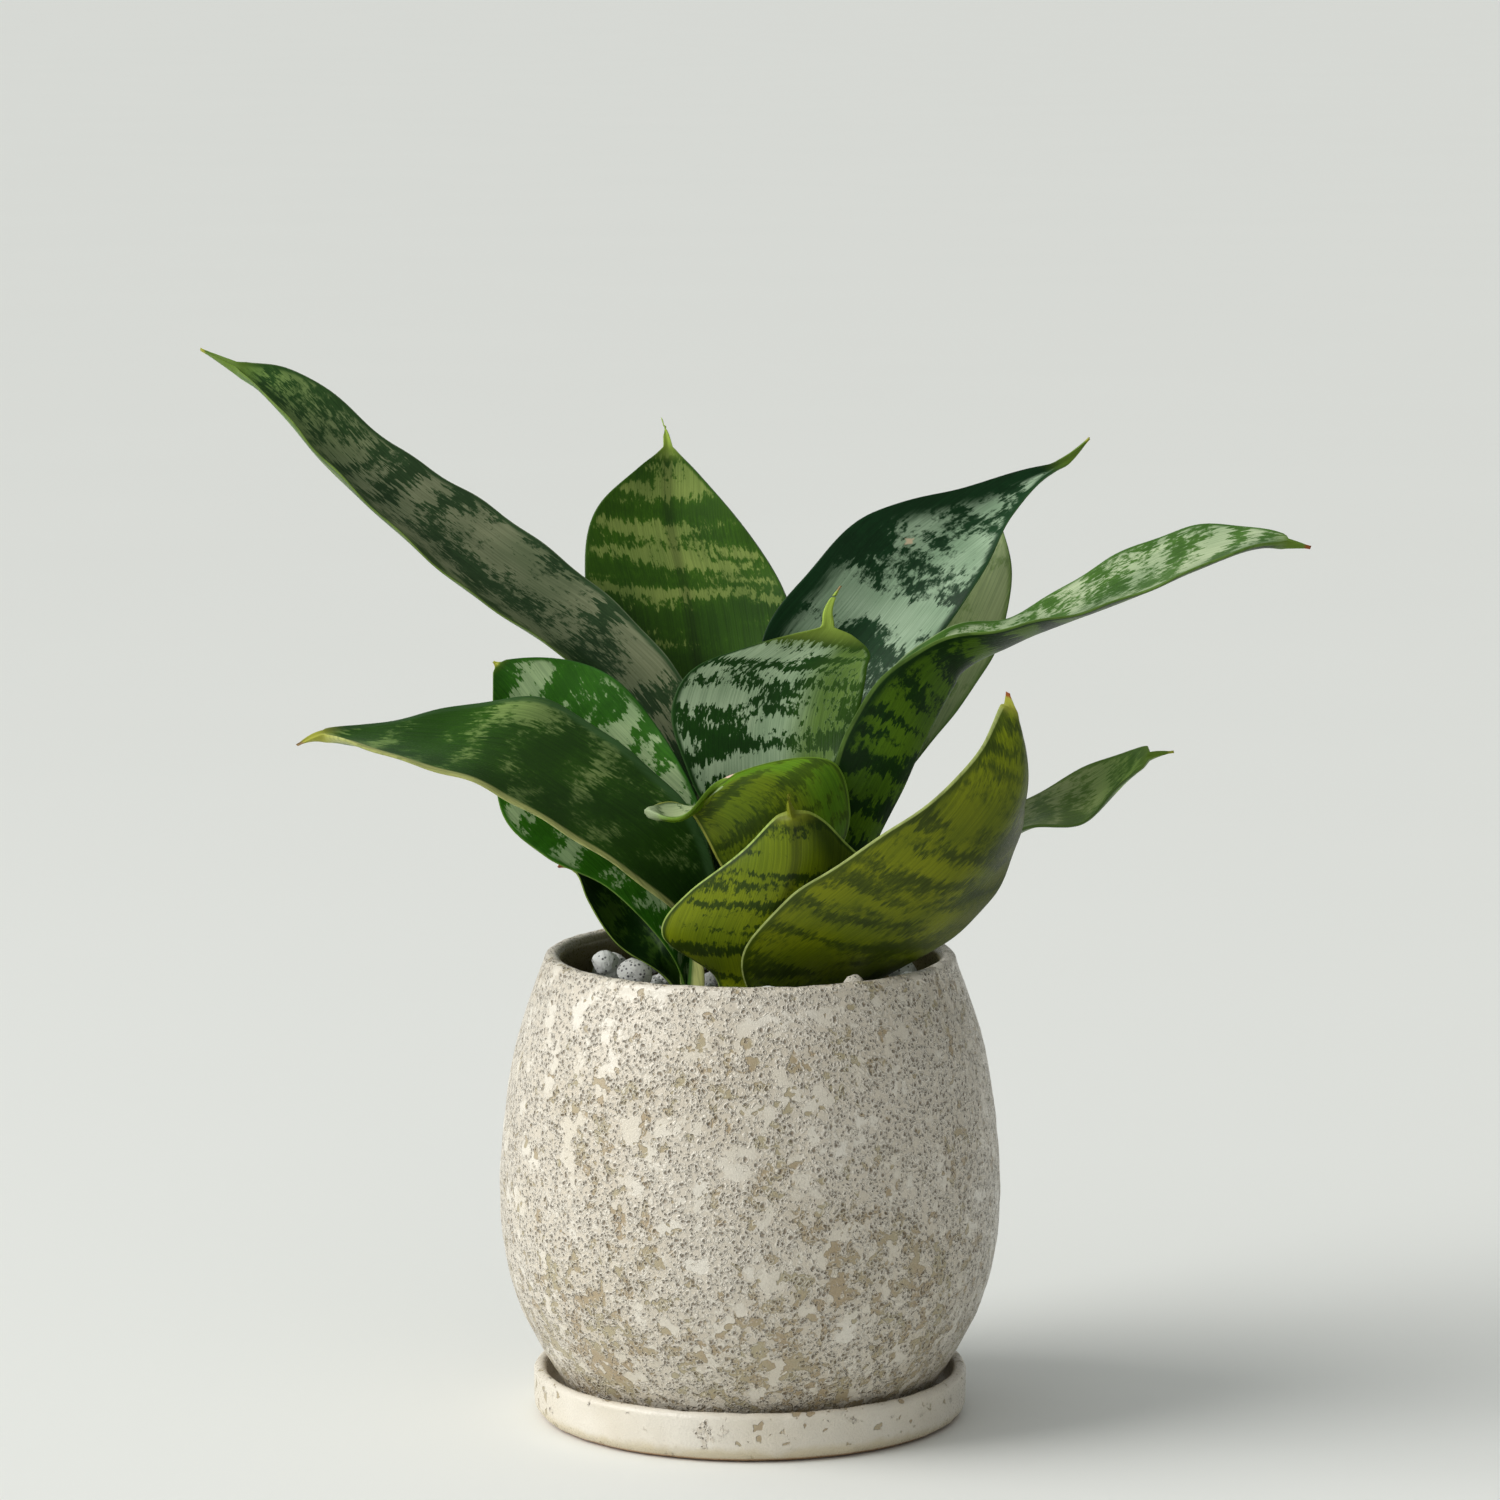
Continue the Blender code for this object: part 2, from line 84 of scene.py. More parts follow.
# The leaves, as in the CAD source: each row is (left edge, right edge, trough depth), base to tip.
LEAVES = {
    "leaf_01_long_left": (
        ((-5, 3, 97), (-1, 7, 97), 2),
        ((-15, 12, 145), (-4, 22, 147), 8),
        ((-35, 19, 168), (-19, 30, 173), 9),
        ((-72, 17, 196), (-55, 40, 204), 8),
        ((-98, 22, 220), (-83, 42, 222), 7),
        ((-114, 32, 236), (-110, 44, 241), 4),
        ((-120, 40, 240), (-119, 44, 242), 2),
        ((-130, 48, 245), (-130, 48, 245), 0.3),
    ),
    "leaf_02_back_upright": (
        ((-4, 9, 97), (3, 10, 97), 2),
        ((-19, 26, 140), (6, 24, 141), 6),
        ((-33, 36, 163), (10, 33, 163), 7),
        ((-39, 42, 188), (9, 40, 186), 6),
        ((-35, 48, 209), (-4, 47, 206), 5),
        ((-26, 51, 217), (-13, 51, 216), 3),
        ((-21, 53, 221), (-18, 53, 221), 1),
        ((-21, 54, 228), (-21, 54, 228), 0.3),
    ),
    "leaf_03_back_right": (
        ((4, 4, 97), (10, 0, 97), 2),
        ((4, 15, 149), (21, 13, 145), 5),
        ((3, 24, 179), (30, 18, 164), 7),
        ((13, 30, 193), (44, 24, 179), 6),
        ((28, 36, 207), (55, 31, 194), 6),
        ((49, 44, 212), (62, 41, 206), 4),
        ((65, 50, 216), (70, 49, 214), 1.5),
        ((74, 53, 218), (75, 53, 217), 1),
        ((81, 56, 223), (81, 56, 223), 0.3),
    ),
    "leaf_04_far_right": (
        ((7, 10, 97), (11, 6, 97), 2),
        ((19, 24, 141), (31, 20, 140), 4),
        ((23, 36, 165), (49, 27, 162), 5),
        ((31, 44, 186), (59, 36, 177), 5),
        ((43, 50, 199), (62, 44, 194), 4),
        ((53, 54, 206), (60, 52, 202), 2),
        ((58, 56, 208), (58, 56, 208), 0.3),
    ),
    "leaf_05_long_right": (
        ((13, 1, 97), (14, -7, 97), 3),
        ((23, 8, 150), (19, -6, 152), 15),
        ((31, 9, 171), (27, -7, 170), 16),
        ((45, 9, 183), (41, -10, 182), 11),
        ((60, 15, 185), (57, -15, 186), 4),
        ((86, 22, 199), (82, -10, 191), 4),
        ((104, 18, 206), (100, -8, 198), 3),
        ((120, 8, 206), (117, -4, 204), 1.5),
        ((129, 2, 203), (129, 2, 203), 0.3),
    ),
    "leaf_06_centre": (
        ((-2, -6, 97), (7, -6, 97), 1.5),
        ((-4, -2, 131), (11, -2, 131), 3),
        ((-14, 0, 150), (19, 0, 151), 4),
        ((-18, 3, 166), (25, 3, 164), 4),
        ((-12, 5, 175), (27, 5, 174), 3),
        ((2, 7, 180), (27, 7, 179), 2),
        ((15, 8, 184), (21, 8, 184), 0.8),
        ((17, 8, 187), (19, 8, 187), 0.5),
        ((21, 9, 193), (21, 9, 193), 0.3),
    ),
    "leaf_07_broad_left": (
        ((-14, -3, 97), (-13, 4, 97), 2),
        ((-20, -3, 111), (-9, -1, 126), 4),
        ((-33, 4, 123), (-12, 5, 143), 5),
        ((-48, 8, 130), (-21, 11, 159), 5),
        ((-58, 12, 140), (-32, 15, 171), 4),
        ((-60, 16, 158), (-45, 18, 175), 3),
        ((-60, 18, 168), (-53, 19, 175), 2),
        ((-60, 20, 174), (-60, 20, 174), 0.3),
    ),
    "leaf_08_front_left": (
        ((-11, -13, 97), (-14, -6, 97), 2),
        ((-14, -14, 117), (-8, -4, 125), 4),
        ((-30, -22, 132), (-14, 0, 142), 5),
        ((-47, -28, 144), (-29, 4, 156), 5),
        ((-63, -30, 153), (-49, 8, 167), 4),
        ((-79, -30, 158), (-70, 4, 165), 3),
        ((-92, -26, 162), (-89, -10, 163), 2),
        ((-97, -21, 162), (-98, -18, 163), 1),
        ((-103, -20, 160), (-103, -20, 160), 0.3),
    ),
    "leaf_09_low_left": (
        ((-16, 3, 97), (-11, 10, 97), 2),
        ((-21, 4, 103), (-19, 11, 112), 3),
        ((-31, 8, 109), (-22, 17, 120), 4),
        ((-38, 12, 119), (-28, 21, 126), 3),
        ((-41, 15, 125), (-38, 19, 128), 1.5),
        ((-45, 18, 126), (-45, 18, 126), 0.3),
    ),
    "leaf_10_front_right": (
        ((17, -18.5, 100), (2, -22, 99), 1.5),
        ((35, -21, 109), (-2, -29, 111), 2.5),
        ((52, -26, 122), (9, -38, 128), 7.5),
        ((60, -28, 137), (29, -46, 143), 9),
        ((62, -30, 152), (48, -50, 159), 7),
        ((60, -38, 165), (54, -48, 169), 4),
        ((57, -48, 176), (57, -48, 176), 0.5),
    ),
    "leaf_11_front_centre": (
        ((4, -18, 98), (-8, -16, 98), 2),
        ((18, -20, 105), (-8, -18, 106), 4),
        ((29, -24, 118), (-20, -20, 116), 6),
        ((30, -27, 130), (-14, -25, 127), 6),
        ((22, -31, 139), (-1, -30, 138), 4),
        ((13, -34, 147), (6, -34, 146), 2),
        ((10, -35, 148), (8, -35, 148), 0.8),
        ((9, -36, 151), (9, -36, 151), 0.3),
    ),
    "leaf_12_curled": (
        ((7, -13, 97), (-3, -12, 97), 1.5),
        ((19, -12, 130), (-1, -14, 122), 4),
        ((23, -13, 144), (-7, -16, 132), 5),
        ((19, -12, 155), (-10, -17, 138), 5),
        ((5, -12, 155), (-13, -16, 143), 4),
        ((-7, -15, 151), (-15, -15, 145), 3),
        ((-16, -25, 144), (-19, -14, 146), 2),
        ((-24, -20, 145), (-24, -20, 145), 0.3),
    ),
    "leaf_13_low_right": (
        ((14, 8, 98), (18, 2, 98), 2),
        ((30, 14, 119), (32, 2, 115), 2),
        ((49, 20, 132), (50, 2, 128), 2.5),
        ((67, 24, 142), (65, 2, 138), 2.5),
        ((80, 24, 149), (77, 4, 138), 3),
        ((90, 22, 153), (86, 12, 146), 2.5),
        ((94, 20, 154), (93, 17, 150), 1),
        ((99, 18, 153), (99, 18, 153), 0.3),
    ),
}

# The finish of each leaf. upper and under: the pale and the dark of each face. share: how much is pale,
# from 0 to 1. bands: noise cells per millimetre across and along. ragged: how far the ends of the bands
# stray, in millimetres. soft: how blurred they are. rims: the thin lines on the left and right edges,
# rim_width wide. margins: how wide a dark margin the pale leaves free on the left and on the right.
# left and right: a tint that comes in towards that edge, as (colour, where it starts, amount). base: a
# tint that fades out along the leaf, as (colour, where it ends). tint: one that comes in towards the
# tip, as (colour, where it starts). midrib: how dark the middle line is. scar: an old wound, as (place
# across, place along, colour). Places run from -1 to 1 across and from 0 to 1 along.
FINISHES = {
    "leaf_01_long_left": dict(
        upper=((0.175, 0.205, 0.118), (0.026, 0.060, 0.020)),
        under=((0.22, 0.30, 0.10), (0.05, 0.11, 0.02)),
        share=0.49, bands=(0.075, 0.15), ragged=11.0, soft=0.11,
        rims=((0.12, 0.19, 0.03), (0.12, 0.16, 0.08)),
        left=((0.13, 0.20, 0.045), 0.45, 0.6),
        base=((0.60, 0.75, 0.90), 0.30),
        tint=((0.80, 1.20, 0.45), 0.72),
    ),
    "leaf_02_back_upright": dict(
        upper=((0.185, 0.255, 0.060), (0.030, 0.092, 0.002)),
        under=((0.25, 0.33, 0.10), (0.06, 0.12, 0.02)),
        share=0.41, bands=(0.022, 0.20), ragged=3.2, soft=0.08,
        rims=((0.05, 0.10, 0.02), (0.10, 0.13, 0.08)),
        base=((0.85, 1.0, 0.9), 0.45),
        midrib=0.55,
    ),
    "leaf_03_back_right": dict(
        upper=((0.270, 0.385, 0.270), (0.005, 0.036, 0.009)),
        under=((0.25, 0.33, 0.12), (0.05, 0.11, 0.02)),
        share=0.50, bands=(0.055, 0.085), ragged=6.0, soft=0.10,
        rims=((0.012, 0.035, 0.012), (0.03, 0.08, 0.02)),
        margins=(5.5, 1.4),
        scar=(-0.28, 0.70, (0.62, 0.50, 0.34)),
    ),
    "leaf_04_far_right": dict(
        upper=((0.285, 0.37, 0.17), (0.17, 0.26, 0.08)),
        under=((0.22, 0.30, 0.12), (0.12, 0.19, 0.05)),
        share=0.58, bands=(0.05, 0.10), ragged=6.0, soft=0.14,
        rims=((0.06, 0.12, 0.02), (0.06, 0.12, 0.02)),
    ),
    "leaf_05_long_right": dict(
        upper=((0.33, 0.42, 0.26), (0.045, 0.125, 0.012)),
        under=((0.060, 0.130, 0.004), (0.005, 0.028, 0.001)),
        share=0.50, bands=(0.045, 0.16), ragged=6.0, soft=0.09,
        rims=((0.20, 0.28, 0.12), (0.10, 0.18, 0.03)),
    ),
    "leaf_06_centre": dict(
        upper=((0.305, 0.415, 0.270), (0.006, 0.042, 0.001)),
        under=((0.25, 0.33, 0.10), (0.06, 0.12, 0.02)),
        share=0.50, bands=(0.050, 0.17), ragged=4.5, soft=0.035,
        rims=((0.02, 0.06, 0.01), (0.05, 0.12, 0.01)),
        # The right tint is painted light: the yellow-green glow of light shining through the leaf near its
        # right edge.
        right=((0.075, 0.150, 0.006), 0.15, 0.9),
        base=((0.30, 0.36, 0.25), 0.30),
    ),
    "leaf_07_broad_left": dict(
        upper=((0.27, 0.38, 0.20), (0.022, 0.110, 0.003)),
        under=((0.25, 0.33, 0.10), (0.06, 0.12, 0.02)),
        share=0.45, bands=(0.06, 0.12), ragged=4.5, soft=0.06,
        rims=((0.10, 0.20, 0.02), (0.02, 0.09, 0.01)),
    ),
    "leaf_08_front_left": dict(
        upper=((0.135, 0.200, 0.062), (0.017, 0.060, 0.002)),
        under=((0.25, 0.33, 0.10), (0.06, 0.12, 0.02)),
        share=0.36, bands=(0.05, 0.10), ragged=7.0, soft=0.13,
        rims=((0.42, 0.44, 0.15), (0.03, 0.08, 0.02)),
        rim_width=2.4,
        base=((0.55, 0.75, 0.5), 0.45),
        tint=((1.3, 1.45, 1.2), 0.55),
    ),
    # leaf_09's upper and under colours are darkened with painted shade, for the shade of leaf_07 above it,
    # and its bright left rim is a painted highlight along the lit edge.
    "leaf_09_low_left": dict(
        upper=((0.040, 0.095, 0.010), (0.006, 0.030, 0.002)),
        under=((0.10, 0.16, 0.03), (0.02, 0.06, 0.01)),
        share=0.45, bands=(0.06, 0.12), ragged=5.0, soft=0.1,
        rims=((0.20, 0.30, 0.05), (0.03, 0.06, 0.01)),
    ),
    "leaf_10_front_right": dict(
        upper=((0.30, 0.38, 0.20), (0.05, 0.11, 0.02)),
        # The olive under colours are partly the underside's own yellow-green and partly painted light
        # shining through the leaf from behind.
        under=((0.112, 0.138, 0.001), (0.036, 0.054, 0.001)),
        share=0.52, bands=(0.050, 0.21), ragged=5.5, soft=0.20,
        rims=((0.24, 0.30, 0.03), (0.28, 0.33, 0.10)),
        # The dark left tint is painted shade on the half of the leaf that folds back.
        left=((0.030, 0.038, 0.002), 0.45, 0.55),
        base=((0.75, 0.95, 0.6), 0.35),
        tint=((1.25, 1.35, 1.0), 0.66),
    ),
    "leaf_11_front_centre": dict(
        upper=((0.30, 0.38, 0.20), (0.05, 0.11, 0.02)),
        # The olive under colours are partly the underside's own yellow-green and partly painted light
        # shining through the leaf from behind.
        under=((0.135, 0.178, 0.003), (0.024, 0.046, 0.001)),
        share=0.56, bands=(0.022, 0.22), ragged=2.6, soft=0.08,
        rims=((0.26, 0.36, 0.06), (0.30, 0.40, 0.09)),
        # The near-black left tint is painted shade on the side turned away from the light.
        left=((0.012, 0.030, 0.002), 0.25, 0.75),
        midrib=0.6,
    ),
    "leaf_12_curled": dict(
        upper=((0.32, 0.40, 0.22), (0.08, 0.13, 0.05)),
        # The under colours are partly the underside's own yellow-green and partly painted light shining
        # through the leaf from behind.
        under=((0.125, 0.178, 0.003), (0.045, 0.078, 0.001)),
        share=0.55, bands=(0.035, 0.20), ragged=3.5, soft=0.10,
        rims=((0.15, 0.27, 0.02), (0.34, 0.36, 0.06)),
        rim_width=0.5,
        left=((0.085, 0.215, 0.006), 0.2, 0.8),
        scar=(-1.0, 0.80, (0.80, 0.55, 0.46)),
    ),
    "leaf_13_low_right": dict(
        upper=((0.165, 0.215, 0.085), (0.060, 0.112, 0.016)),
        under=((0.20, 0.28, 0.05), (0.06, 0.12, 0.02)),
        share=0.48, bands=(0.05, 0.14), ragged=5.0, soft=0.13,
        rims=((0.12, 0.20, 0.03), (0.06, 0.11, 0.02)),
        tint=((0.9, 1.2, 0.45), 0.7),
    ),
}
RIM_WIDTH = 0.34
LEAF_MARGINS = (1.2, 1.2)

# The leaf textures: noise cells per millimetre across and along, and the multipliers between which they
# run.
COMB_CELLS = (1.15, 0.11, 1.0)
FLECK_CELLS = (0.75, 0.40, 1.0)
THREAD_CELLS = (3.0, 0.05, 1.0)
CLOUD_CELLS = (0.07, 0.05, 1.0)
SKIN_CELLS = (2.6, 1.6, 1.0)
THREAD_TINTS = ((0.80, 0.82, 0.78), (1.14, 1.12, 1.10))
CLOUD_TINTS = ((0.74, 0.80, 0.72), (1.24, 1.18, 1.18))
DEEP_TINT = (0.55, 0.60, 0.55)
MIDRIB_TINT = (0.35, 0.35, 0.35)
LEAF_ROUGHNESS = (0.36, 0.52)
LEAF_SPECULAR = 0.16

# How deep the relief of each material is, in metres.
LEAF_RELIEF = 0.00018
GLAZE_RELIEF = 0.00042
SOIL_RELIEF = 0.0007
PUMICE_RELIEF = 0.0007
CROWN_RELIEF = 0.0004

# The spike at each leaf's tip: its length and half width, its colour and the colour of its point.
SPIKES = {
    "leaf_01_long_left": (11.0, 1.1, "green", "yellow"),
    "leaf_02_back_upright": (6.5, 1.05, "lime", "lime"),
    "leaf_03_back_right": (9.0, 1.2, "green", "yellow"),
    "leaf_04_far_right": (3.0, 0.8, "green", "yellow"),
    "leaf_05_long_right": (6.0, 1.1, "green", "rust"),
    "leaf_06_centre": (10.5, 1.55, "lime", "brown"),
    "leaf_07_broad_left": (1.5, 0.9, "green", "yellow"),
    "leaf_08_front_left": (6.5, 1.2, "yellow", "brown"),
    "leaf_09_low_left": (4.0, 0.8, "yellow", "rust"),
    "leaf_10_front_right": (4.0, 1.0, "yellow", "rust"),
    "leaf_11_front_centre": (4.5, 1.0, "olive", "olive"),
    "leaf_12_curled": (2.5, 2.6, "pale", "pale"),
    "leaf_13_low_right": (6.0, 1.0, "green", "yellow"),
}
TIP_COLOURS = {
    "green": (0.110, 0.190, 0.018),
    "lime": (0.300, 0.420, 0.060),
    "olive": (0.160, 0.180, 0.010),
    "yellow": (0.330, 0.340, 0.045),
    "brown": (0.300, 0.200, 0.090),
    "pale": (0.300, 0.370, 0.210),
    "rust": (0.260, 0.075, 0.018),
}

# The pot and the saucer, as in the CAD source. POT_OUTSIDE holds (height, radius).
POT_OUTSIDE = (
    (6.5, 42.6),
    (13.3, 46.9),
    (26.6, 53.8),
    (41.0, 57.5),
    (53.0, 58.2),
    (69.5, 57.2),
    (88.4, 54.0),
    (106.6, 47.9),
)
POT_BASE = 4.8
POT_BASE_RADIUS = 41.0
POT_RIM = 108.8
POT_WALL = 4.0
POT_FLOOR = 10.5
POT_FOOT_INSIDE = 35.0
POT_FOOT_RECESS = 6.3
POT_FOOT_ROUND = 1.3
DRAIN_RADIUS = 6.0
SAUCER_RADIUS = 50.5
SAUCER_HEIGHT = 11.5
SAUCER_FOOT_RADIUS = 46.5
SAUCER_FLOOR = 4.5
SAUCER_WALL = 3.0
SAUCER_COVE = 2.5

# How finely the turned pieces are made, and how uneven their glaze is.
TURN_STEPS = 320
PROFILE_STEP = 1.3
LUMP_HEIGHT = 0.16
LUMPS_PER_MM = 0.16

# The pits of the glaze, large and small: cells per millimetre, radius, and the share of cells that have
# none.
LARGE_PITS = (0.78, 0.38, 0.12)
SMALL_PITS = (1.35, 0.23, 0.35)
# The glaze's colours: the cream from place to place, the pitted part, its grain, where it has run thin,
# the raised rings round pits, the clay in them, and the inside of the pot. Then a saucer's foot,
# faintly and fully bare.
CREAMS = ((0.74, 0.695, 0.61), (0.66, 0.60, 0.495))
PITTED_CREAM = (0.545, 0.475, 0.375)
GRAINY_CREAM = (0.50, 0.46, 0.39)
KHAKIS = ((0.37, 0.315, 0.185), (0.35, 0.26, 0.145))
PIT_RING = (0.78, 0.74, 0.66)
PIT_CLAY = (0.17, 0.118, 0.068)
POT_INSIDE = (0.165, 0.145, 0.070)
FOOT_WORN = (0.52, 0.43, 0.25)
FOOT_BARE = (0.34, 0.16, 0.05)

# The soil bed: its radius, how much it narrows to its foot, how far it stands above its node, and how
# lumpy it is.
SOIL_RADIUS = 43.0
SOIL_TAPER = 0.93
SOIL_RISE = 0.6
SOIL_LUMPS_PER_MM = 0.22
SOIL_COLOURS = ((0.018, 0.012, 0.008), (0.070, 0.046, 0.028))
SOIL_CRUMB = (0.16, 0.12, 0.075)
SOIL_FIBRE = (0.13, 0.085, 0.045)

# The stones: flats worn on each one, their colours with how often each comes, and the grit between them
# in metres.
STONE_FACETS = 12
PUMICE = (
    ("pumice_white", (0.82, 0.83, 0.81)),
    ("pumice_grey", (0.74, 0.74, 0.71)),
    ("pumice_buff", (0.72, 0.67, 0.57)),
)
PUMICE_ODDS = (6, 2, 1)
PUMICE_SPECK = (0.045, 0.045, 0.05)
PUMICE_PORE = (0.30, 0.29, 0.27)
GRIT_TRIES = 1500
GRIT_SPREAD = 0.0415
GRIT_SIZES = (0.0012, 0.0034)
GRIT_RISE = 0.0006
GRIT_LEAF_GAP = 0.0004

CROWN_COLOURS = ((0.20, 0.17, 0.09), (0.50, 0.46, 0.30))


class Nodes:
    """Short ways to add the nodes of one material. A socket given as a value is linked, any other is set."""

    def __init__(self, name):
        self.material = bpy.data.materials.new(name)
        self.material.use_nodes = True
        self.tree = self.material.node_tree
        self.shader = self.tree.nodes["Principled BSDF"]

    def put(self, socket, value):
        if isinstance(value, bpy.types.NodeSocket):
            self.tree.links.new(value, socket)
        elif hasattr(value, "__len__") and socket.type == "RGBA":
            socket.default_value = (*value[:3], 1.0)
        else:
            socket.default_value = value

    def node(self, kind, **values):
        made = self.tree.nodes.new(kind)
        for key, value in values.items():
            self.put(made.inputs[key], value)
        return made

    def set(self, **values):
        for key, value in values.items():
            self.put(self.shader.inputs[key.replace("_", " ")], value)

    def math(self, operation, first, second=0.0):
        made = self.tree.nodes.new("ShaderNodeMath")
        made.operation = operation
        self.put(made.inputs[0], first)
        self.put(made.inputs[1], second)
        return made.outputs[0]

    def plus(self, first, second):
        return self.math("ADD", first, second)

    def minus(self, first, second):
        return self.math("SUBTRACT", first, second)

    def times(self, first, second):
        return self.math("MULTIPLY", first, second)

    def stray(self, value, amount):
        """How far a noise value is from its middle, times the amount."""
        return self.times(self.minus(value, 0.5), amount)

    def mix(self, amount, first, second, blend="MIX"):
        made = self.tree.nodes.new("ShaderNodeMix")
        made.data_type = "RGBA"
        made.blend_type = blend
        self.put(made.inputs["Factor"], amount)
        self.put(made.inputs[6], first)
        self.put(made.inputs[7], second)
        return made.outputs[2]

    def tinted(self, colour, tint, amount=1.0):
        return self.mix(amount, colour, tint, "MULTIPLY")

    def step(self, value, low, high, start=0.0, end=1.0):
        """Goes smoothly from start to end as the value goes from low to high."""
        made = self.tree.nodes.new("ShaderNodeMapRange")
        made.interpolation_type = "SMOOTHSTEP"
        for index, number in enumerate((value, low, high, start, end)):
            self.put(made.inputs[index], number)
        return made.outputs[0]

    def fall(self, value, low, high):
        return self.step(value, low, high, 1.0, 0.0)

    def attribute(self, name):
        made = self.tree.nodes.new("ShaderNodeAttribute")
        made.attribute_name = name
        return made.outputs["Vector"]

    def place(self):
        """The point on the object, in millimetres."""
        coordinates = self.tree.nodes.new("ShaderNodeTexCoord").outputs["Object"]
        return self.scaled(coordinates, (1000.0, 1000.0, 1000.0))

    def scaled(self, vector, factors, offset=(0.0, 0.0, 0.0)):
        made = self.tree.nodes.new("ShaderNodeVectorMath")
        made.operation = "MULTIPLY_ADD"
        self.put(made.inputs[0], vector)
        self.put(made.inputs[1], factors)
        self.put(made.inputs[2], offset)
        return made.outputs[0]

    def split(self, vector):
        return self.node("ShaderNodeSeparateXYZ", Vector=vector).outputs

    def noise(self, vector, scale=1.0, detail=2.0, roughness=0.5):
        settings = dict(Scale=scale, Detail=detail, Roughness=roughness)
        return self.node("ShaderNodeTexNoise", Vector=vector, **settings).outputs["Fac"]

    def cells(self, vector, scale=1.0, output="Distance"):
        made = self.node("ShaderNodeTexVoronoi", Vector=vector, Scale=scale)
        return made.outputs[output]

    def bump(self, height, depth, strength=1.0):
        made = self.node("ShaderNodeBump", Height=height, Distance=depth, Strength=strength)
        return made.outputs["Normal"]


def leaf_material(name, finish, spike, length, seed):
    """The skin of one leaf: ragged pale bands on dark green, thin rims and a coloured tip.

    Where a point is on its leaf comes from the two attributes that build_leaves gives the mesh.
    """
    n = Nodes(name + "_skin")
    across_mm, along_mm, from_edge = n.split(n.attribute("leaf_metric"))
    across, to_tip, is_upper = n.split(n.attribute("leaf_form"))
    along = n.minus(1.0, to_tip)
    flat = n.node("ShaderNodeCombineXYZ", X=across_mm, Y=along_mm).outputs[0]

    def texture(cells, offset, detail, roughness=0.5):
        return n.noise(n.scaled(flat, cells, (seed, offset, 0.0)), detail=detail, roughness=roughness)

    comb = texture(COMB_CELLS, 7.0, 3.0, 0.65)
    flecks = texture(FLECK_CELLS, 3.0, 3.0, 0.68)
    threads = texture(THREAD_CELLS, 5.0, 2.0)
    clouds = texture(CLOUD_CELLS, 9.0, 2.0)

    ragged_along = n.plus(along_mm, n.stray(comb, finish["ragged"] * 2.0))
    ragged_place = n.node("ShaderNodeCombineXYZ", X=across_mm, Y=ragged_along).outputs[0]
    band_place = n.scaled(ragged_place, (*finish["bands"], 1.0), (seed, 0.0, 0.0))
    bands = n.noise(band_place, detail=2.0, roughness=0.55)
    pattern = n.plus(bands, n.stray(flecks, 0.45))
    level = 0.5 - (finish["share"] - 0.5) * 0.7
    soft = finish["soft"]
    is_pale = n.step(pattern, level - soft / 2, level + soft / 2)
    is_deep = n.fall(pattern, level - 0.16, level - 0.06)
    margin = n.step(across, -0.3, 0.3, *finish.get("margins", LEAF_MARGINS))
    ragged_edge = n.plus(from_edge, n.stray(comb, margin))
    is_pale = n.times(is_pale, n.step(n.math("DIVIDE", ragged_edge, margin), 0.5, 1.4))

    upper_pale, upper_dark = finish["upper"]
    under_pale, under_dark = finish["under"]
    # For leaf_10, leaf_11 and leaf_12 the under colours are partly painted light shining through the leaf,
    # and on leaf_09 both faces carry painted shade.
    colour = n.mix(is_upper, n.mix(is_pale, under_dark, under_pale), n.mix(is_pale, upper_dark, upper_pale))
    # On leaf_06 the right tint is painted light shining through the leaf; on leaf_10 and leaf_11 the left
    # tint is painted shade.
    for side, facing in (("left", -1.0), ("right", 1.0)):
        if side in finish:
            tone, start, amount = finish[side]
            tint_share = n.step(n.times(across, facing), start, min(1.0, start + 0.45), 0.0, amount)
            mostly_pale = n.plus(n.times(is_pale, 0.75), 0.25)
            colour = n.mix(n.times(tint_share, mostly_pale), colour, tone)
    colour = n.tinted(colour, DEEP_TINT, n.times(is_deep, 0.45))
    colour = n.tinted(colour, n.mix(n.step(threads, 0.3, 0.7), *THREAD_TINTS))
    colour = n.tinted(colour, n.mix(n.step(clouds, 0.3, 0.7), *CLOUD_TINTS))
    if "base" in finish:
        tone, end = finish["base"]
        colour = n.tinted(colour, tone, n.fall(along, 0.0, end))
    if "tint" in finish:
        tone, start = finish["tint"]
        colour = n.tinted(colour, tone, n.step(along, start, start + 0.25))
    if "midrib" in finish:
        off_rib = n.math("ABSOLUTE", n.plus(across_mm, n.minus(clouds, 0.5)))
        colour = n.tinted(colour, MIDRIB_TINT, n.times(n.fall(off_rib, 0.4, 2.2), finish["midrib"]))

    rim_width = finish.get("rim_width", RIM_WIDTH)
    rim_stripes = n.step(comb, 0.30, 0.6, 0.55, 1.0)
    is_rim = n.times(n.fall(from_edge, rim_width * 0.6, rim_width * 1.25), rim_stripes)
    # leaf_09's bright left rim is a painted highlight.
    colour = n.mix(is_rim, colour, n.mix(n.step(across, -0.1, 0.1), *finish["rims"]))

    if "scar" in finish:
        scar_across, scar_along, tone = finish["scar"]
        off_across = n.times(n.math("ABSOLUTE", n.minus(across, scar_across)), 9.0)
        off_along = n.times(n.math("ABSOLUTE", n.minus(along, scar_along)), 70.0)
        off_scar = n.plus(n.plus(off_across, off_along), flecks)
        colour = n.mix(n.fall(off_scar, 0.9, 1.25), colour, tone)

